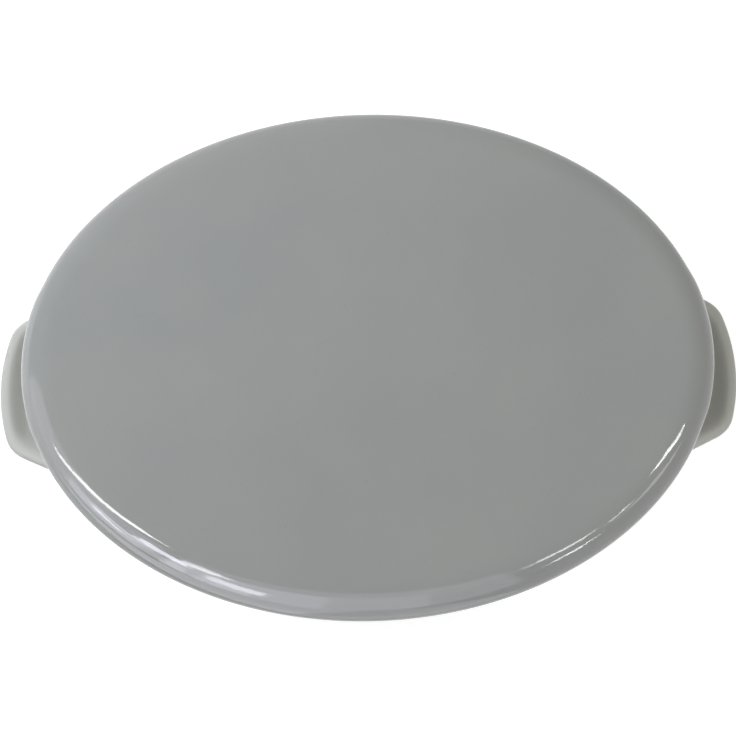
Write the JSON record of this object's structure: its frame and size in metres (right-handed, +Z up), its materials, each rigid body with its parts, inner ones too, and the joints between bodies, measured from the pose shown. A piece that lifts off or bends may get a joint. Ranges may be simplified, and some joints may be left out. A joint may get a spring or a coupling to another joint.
{
  "type": "oval roasting pan",
  "caption": "Oval enamelled cast iron roasting pan with a lug handle at each end, upside down on its rim.",
  "frame": {"origin": "middle of the rim's plane, on the surface that the upturned rim lies on", "axes": "+Z up from the rim to the flat base, because the pan lies upside down as in the picture; +X along the oval, towards the right handle"},
  "size_m": [0.36, 0.2324, 0.07],
  "materials": {
    "cast_iron": "as cast, sealed under the enamel",
    "grey_enamel": "gloss",
    "cream_enamel": "gloss",
    "rim_enamel": "satin",
    "handle_enamel": "gloss"
  },
  "bodies": {
    "root": {"iron_pan_body": "cast_iron", "iron_handle_left": "cast_iron", "iron_handle_right": "cast_iron", "exterior_enamel": "grey_enamel", "interior_enamel": "cream_enamel", "rim_enamel_band": "rim_enamel", "handle_enamel_left": "handle_enamel", "handle_enamel_right": "handle_enamel"}
  },
  "joints": []
}
